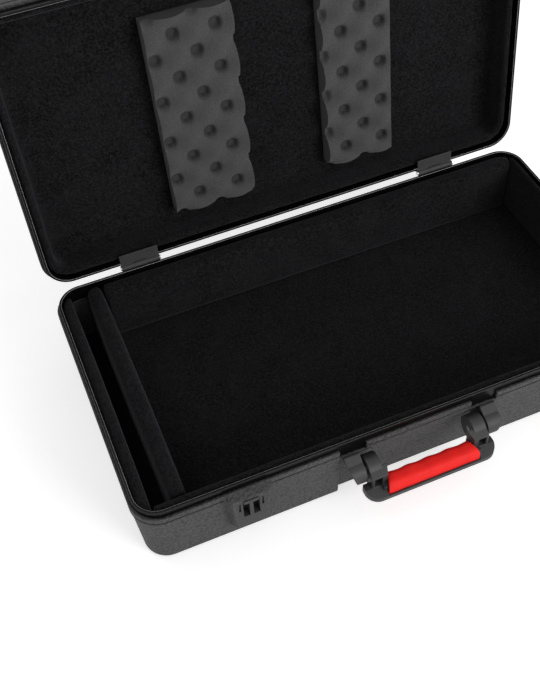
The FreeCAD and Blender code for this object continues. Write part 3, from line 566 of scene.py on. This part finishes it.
def turned_metal(name, dark, light, smoothest, roughest):
    """Bare or blackened metal with fine tool marks."""
    mark_depth = 0.00003
    material, tree, shader, place = new_finish(name, metallic=1.0)
    marks = add_node(tree, "ShaderNodeTexNoise", scale=900.0, detail=3.0, roughness=0.7)
    stretch = add_node(tree, "ShaderNodeMapping", scale=(1.0, 0.12, 0.12))
    tree.links.new(place, stretch.inputs["Vector"])
    tree.links.new(stretch.outputs[0], marks.inputs["Vector"])
    cloud = use_group(tree, handling_marks, place, size=0.008)
    tree.links.new(blend_colours(tree, cloud.outputs["Cloud"], dark, light),
                   shader.inputs["Base Color"])
    tree.links.new(ranged(tree, marks.outputs[0], smoothest, roughest), shader.inputs["Roughness"])
    tree.links.new(raised(tree, marks.outputs[0], mark_depth), shader.inputs["Normal"])
    return material


bright_steel = turned_metal("bright steel", dark=(0.42, 0.42, 0.43), light=(0.55, 0.55, 0.56),
                            smoothest=0.2, roughest=0.42)
black_rivet = turned_metal("blackened rivet", dark=(0.035, 0.035, 0.037),
                           light=(0.06, 0.06, 0.064), smoothest=0.32, roughest=0.54)
dress(bright_steel, "hinge_pin_left", "hinge_pin_right", "latch_pin_left", "latch_pin_right",
      "handle_pin_left", "handle_pin_right", "handle_screws")
dress(black_rivet, "hinge_base_rivets", "hinge_lid_rivets", "latch_rivets")

# Latches: keeper, plate, flap and key lock on each side
# Glass-filled nylon mouldings with a spark-eroded grain, finer than the shell's. The flap hangs
# on a steel pin in the lid's plate, and its two prongs snap into the keeper's slots.
latch_nylon = grained_plastic("latch nylon", dark=(0.019, 0.019, 0.02),
                              light=(0.033, 0.033, 0.035), worn=(0.075, 0.075, 0.078),
                              pitch=0.0009, depth=0.00008, dull=(0.45, 0.62), reach=0.0012)
dress(latch_nylon, "latch_keeper_left", "latch_keeper_right", "latch_plate_left",
      "latch_plate_right", "latch_flap_left", "latch_flap_right")
satin_nickel = turned_metal("satin nickel", dark=(0.33, 0.33, 0.34), light=(0.45, 0.45, 0.46),
                            smoothest=0.24, roughest=0.46)
dress(satin_nickel, "lock_cylinder_left", "lock_cylinder_right")

# Handle: bosses, swinging frame and grip
# Grained nylon carries the load. The frame turns on a steel pin in each boss.
handle_nylon = grained_plastic("handle nylon", dark=(0.024, 0.024, 0.025),
                               light=(0.038, 0.038, 0.04), worn=(0.08, 0.08, 0.083),
                               pitch=0.001, depth=0.0001, dull=(0.45, 0.6), reach=0.0015)
dress(handle_nylon, "handle_boss_left", "handle_boss_right", "handle_frame")

# Handle grip: red rubber sleeve
# It is moulded over the frame's bar. Its inner side is waved for four fingers, and its
# matt face has the same spark-eroded grain as the nylon.
grip_pitch = 0.0255
grip_wave = 0.0011
outer_share = 0.3
grip_dark_red = (0.8, 0.012, 0.01)
grip_light_red = (0.92, 0.02, 0.016)
grip_pebble_red = (0.72, 0.01, 0.008)
grip_grain_depth = 0.00006
grip_red, tree, shader, place = new_finish("red grip rubber", specular_ior_level=0.2)
grain = use_group(tree, pebble_grain, place, pitch=0.0007, sand=0.5)
cloud = use_group(tree, handling_marks, place, size=0.025)
red = blend_colours(tree, cloud.outputs["Cloud"], grip_dark_red, grip_light_red)
pebbled_red = blend_colours(tree, ranged(tree, grain.outputs["Tone"], 0.0, 0.25), red,
                            grip_pebble_red)
tree.links.new(pebbled_red, shader.inputs["Base Color"])
tree.links.new(ranged(tree, cloud.outputs["Cloud"], 0.5, 0.66), shader.inputs["Roughness"])
tree.links.new(raised(tree, grain.outputs["Height"], grip_grain_depth), shader.inputs["Normal"])
grip = even_copy("handle_grip_sleeve", "handle_grip", voxel=0.0012, relax=3)
inner_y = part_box("handle_grip")[1].y
outer_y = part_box("handle_grip")[0].y
for vertex in grip.data.vertices:
    toward = (vertex.co.y - outer_y) / (inner_y - outer_y)
    ripple = 0.5 - 0.5 * math.cos(2 * math.pi * vertex.co.x / grip_pitch)
    share = outer_share + (1 - outer_share) * toward
    vertex.co -= vertex.normal * grip_wave * ripple * share
smoother = grip.modifiers.new("smoother", "SUBSURF")
smoother.levels = 1
smoother.render_levels = 1
finish_modifiers(grip)
bpy.ops.object.shade_smooth()
grip.data.materials.append(grip_red)
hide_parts("handle_grip")
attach(grip, "handle")

# Floor, backdrop and light
# A wide pale floor under soft studio light, as in a catalogue photograph.
floor_size = 14
floor_top = -0.0002
floor_colour = (0.92, 0.92, 0.92, 1)
white = (1, 1, 1, 1)
world_light = 0.42
world_seen = 1.0


def seen_directly(tree):
    """1 for what the camera sees straight, in a reflection or through glass, and 0 for light."""
    path = tree.nodes.new("ShaderNodeLightPath")
    seen = add_node(tree, "ShaderNodeMath", operation="MAXIMUM")
    tree.links.new(path.outputs["Is Camera Ray"], seen.inputs[0])
    tree.links.new(path.outputs["Is Glossy Ray"], seen.inputs[1])
    seen_through = add_node(tree, "ShaderNodeMath", operation="MAXIMUM")
    tree.links.new(seen.outputs[0], seen_through.inputs[0])
    tree.links.new(path.outputs["Is Transmission Ray"], seen_through.inputs[1])
    return seen_through.outputs[0]


bpy.ops.object.select_all(action="DESELECT")
bpy.ops.mesh.primitive_plane_add(size=floor_size, location=(0, 0, floor_top))
floor = bpy.context.object
floor.name = "studio_floor"
floor_white, tree, shader, place = new_finish("studio floor", roughness=0.8, specular_ior_level=0.1)
shader.inputs["Base Color"].default_value = floor_colour
shader.inputs["Emission Color"].default_value = white
from_case = add_node(tree, "ShaderNodeVectorMath", operation="LENGTH")
tree.links.new(place, from_case.inputs[0])
far_glow = add_node(tree, "ShaderNodeMapRange", i1=0.7, i2=2.2, i3=0.5, i4=0.68)
tree.links.new(from_case.outputs["Value"], far_glow.inputs[0])
glow = add_node(tree, "ShaderNodeMath", operation="MULTIPLY")
tree.links.new(seen_directly(tree), glow.inputs[0])
tree.links.new(far_glow.outputs[0], glow.inputs[1])
tree.links.new(glow.outputs[0], shader.inputs["Emission Strength"])
floor.data.materials.append(floor_white)

world = bpy.data.worlds.new("studio")
bpy.context.scene.world = world
world.use_nodes = True
tree = world.node_tree
background = tree.nodes["Background"]
background.inputs["Color"].default_value = white
tree.links.new(ranged(tree, seen_directly(tree), world_light, world_seen),
               background.inputs["Strength"])


def soft_box(name, place, target, size, power):
    """A large square lamp that faces a point."""
    bpy.ops.object.light_add(type="AREA", location=place)
    lamp = bpy.context.object
    lamp.name = name
    lamp.data.size = size
    lamp.data.energy = power
    lamp.rotation_euler = (Vector(target) - Vector(place)).to_track_quat("-Z", "Y").to_euler()


soft_box("key_light", place=(1.1, -2.1, 1.1), target=(0, 0, 0.1), size=1.4, power=40)
soft_box("back_light", place=(-0.9, 1.2, 2.1), target=(0, 0.1, 0.1), size=1.2, power=8)
